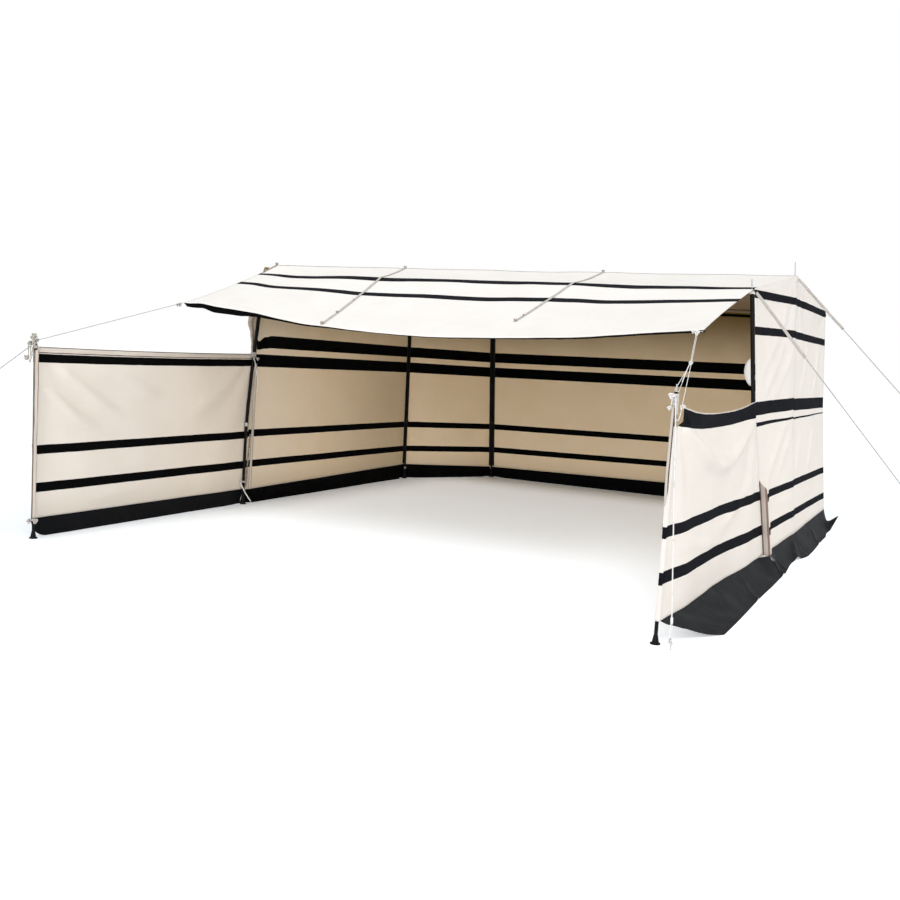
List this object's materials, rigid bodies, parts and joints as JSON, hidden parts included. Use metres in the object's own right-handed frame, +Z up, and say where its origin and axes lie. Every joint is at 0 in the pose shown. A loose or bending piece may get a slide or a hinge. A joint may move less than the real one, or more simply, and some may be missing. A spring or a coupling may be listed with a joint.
{
  "type": "sun canopy with windbreak walls",
  "caption": "Striped canvas sun canopy: three-sided windbreak with low front wings, ridged roof cloth, sagging awning, black telescopic poles and taut guy ropes.",
  "frame": {"origin": "on the ground under the foot of the left front pole", "axes": "+X to the right along the open front, +Y back to the rear wall, +Z up"},
  "size_m": [8.156, 9.276, 2.5],
  "materials": {
    "canvas": "matte cotton canvas, cream with black woven stripes",
    "sod_cloth": "matte coated black cloth",
    "pole": "satin black powder coat",
    "webbing": "matte beige webbing",
    "rope": "white braided rope",
    "peg": "galvanised steel"
  },
  "bodies": {
    "root": {"left_wing_pole": "pole", "left_front_pole": "pole", "left_rear_pole": "pole", "rear_left_pole": "pole", "rear_right_pole": "pole", "right_rear_pole": "pole", "right_ridge_pole": "pole", "right_front_pole": "pole", "right_wing_pole": "pole", "ridge_bar": "pole", "left_wing": "canvas", "left_wall": "canvas", "rear_left_wall": "canvas", "rear_wall": "canvas", "rear_right_wall": "canvas", "right_rear_wall": "canvas", "right_front_wall": "canvas", "right_wing": "canvas", "rear_roof": "canvas", "front_roof": "canvas", "awning": "canvas", "left_wing_sod_cloth": "sod_cloth", "left_wall_sod_cloth": "sod_cloth", "rear_left_sod_cloth": "sod_cloth", "rear_sod_cloth": "sod_cloth", "rear_right_sod_cloth": "sod_cloth", "right_rear_sod_cloth": "sod_cloth", "right_front_sod_cloth": "sod_cloth", "right_wing_sod_cloth": "sod_cloth", "left_roof_strap": "webbing", "right_roof_strap": "webbing", "left_wing_edge_strip": "webbing", "left_front_edge_strip": "webbing", "right_front_edge_strip": "webbing", "right_front_guy_strap": "webbing", "right_ridge_guy_strap": "webbing", "left_wing_guy": "rope", "right_front_guy": "rope", "right_ridge_guy": "rope", "right_wing_guy": "rope", "rear_left_guy": "rope", "rear_right_guy": "rope", "left_awning_rope": "rope", "right_awning_rope": "rope", "left_wing_guy_peg": "peg", "right_front_guy_peg": "peg", "right_ridge_guy_peg": "peg", "right_wing_guy_peg": "peg", "rear_left_guy_peg": "peg", "rear_right_guy_peg": "peg"}
  },
  "joints": []
}
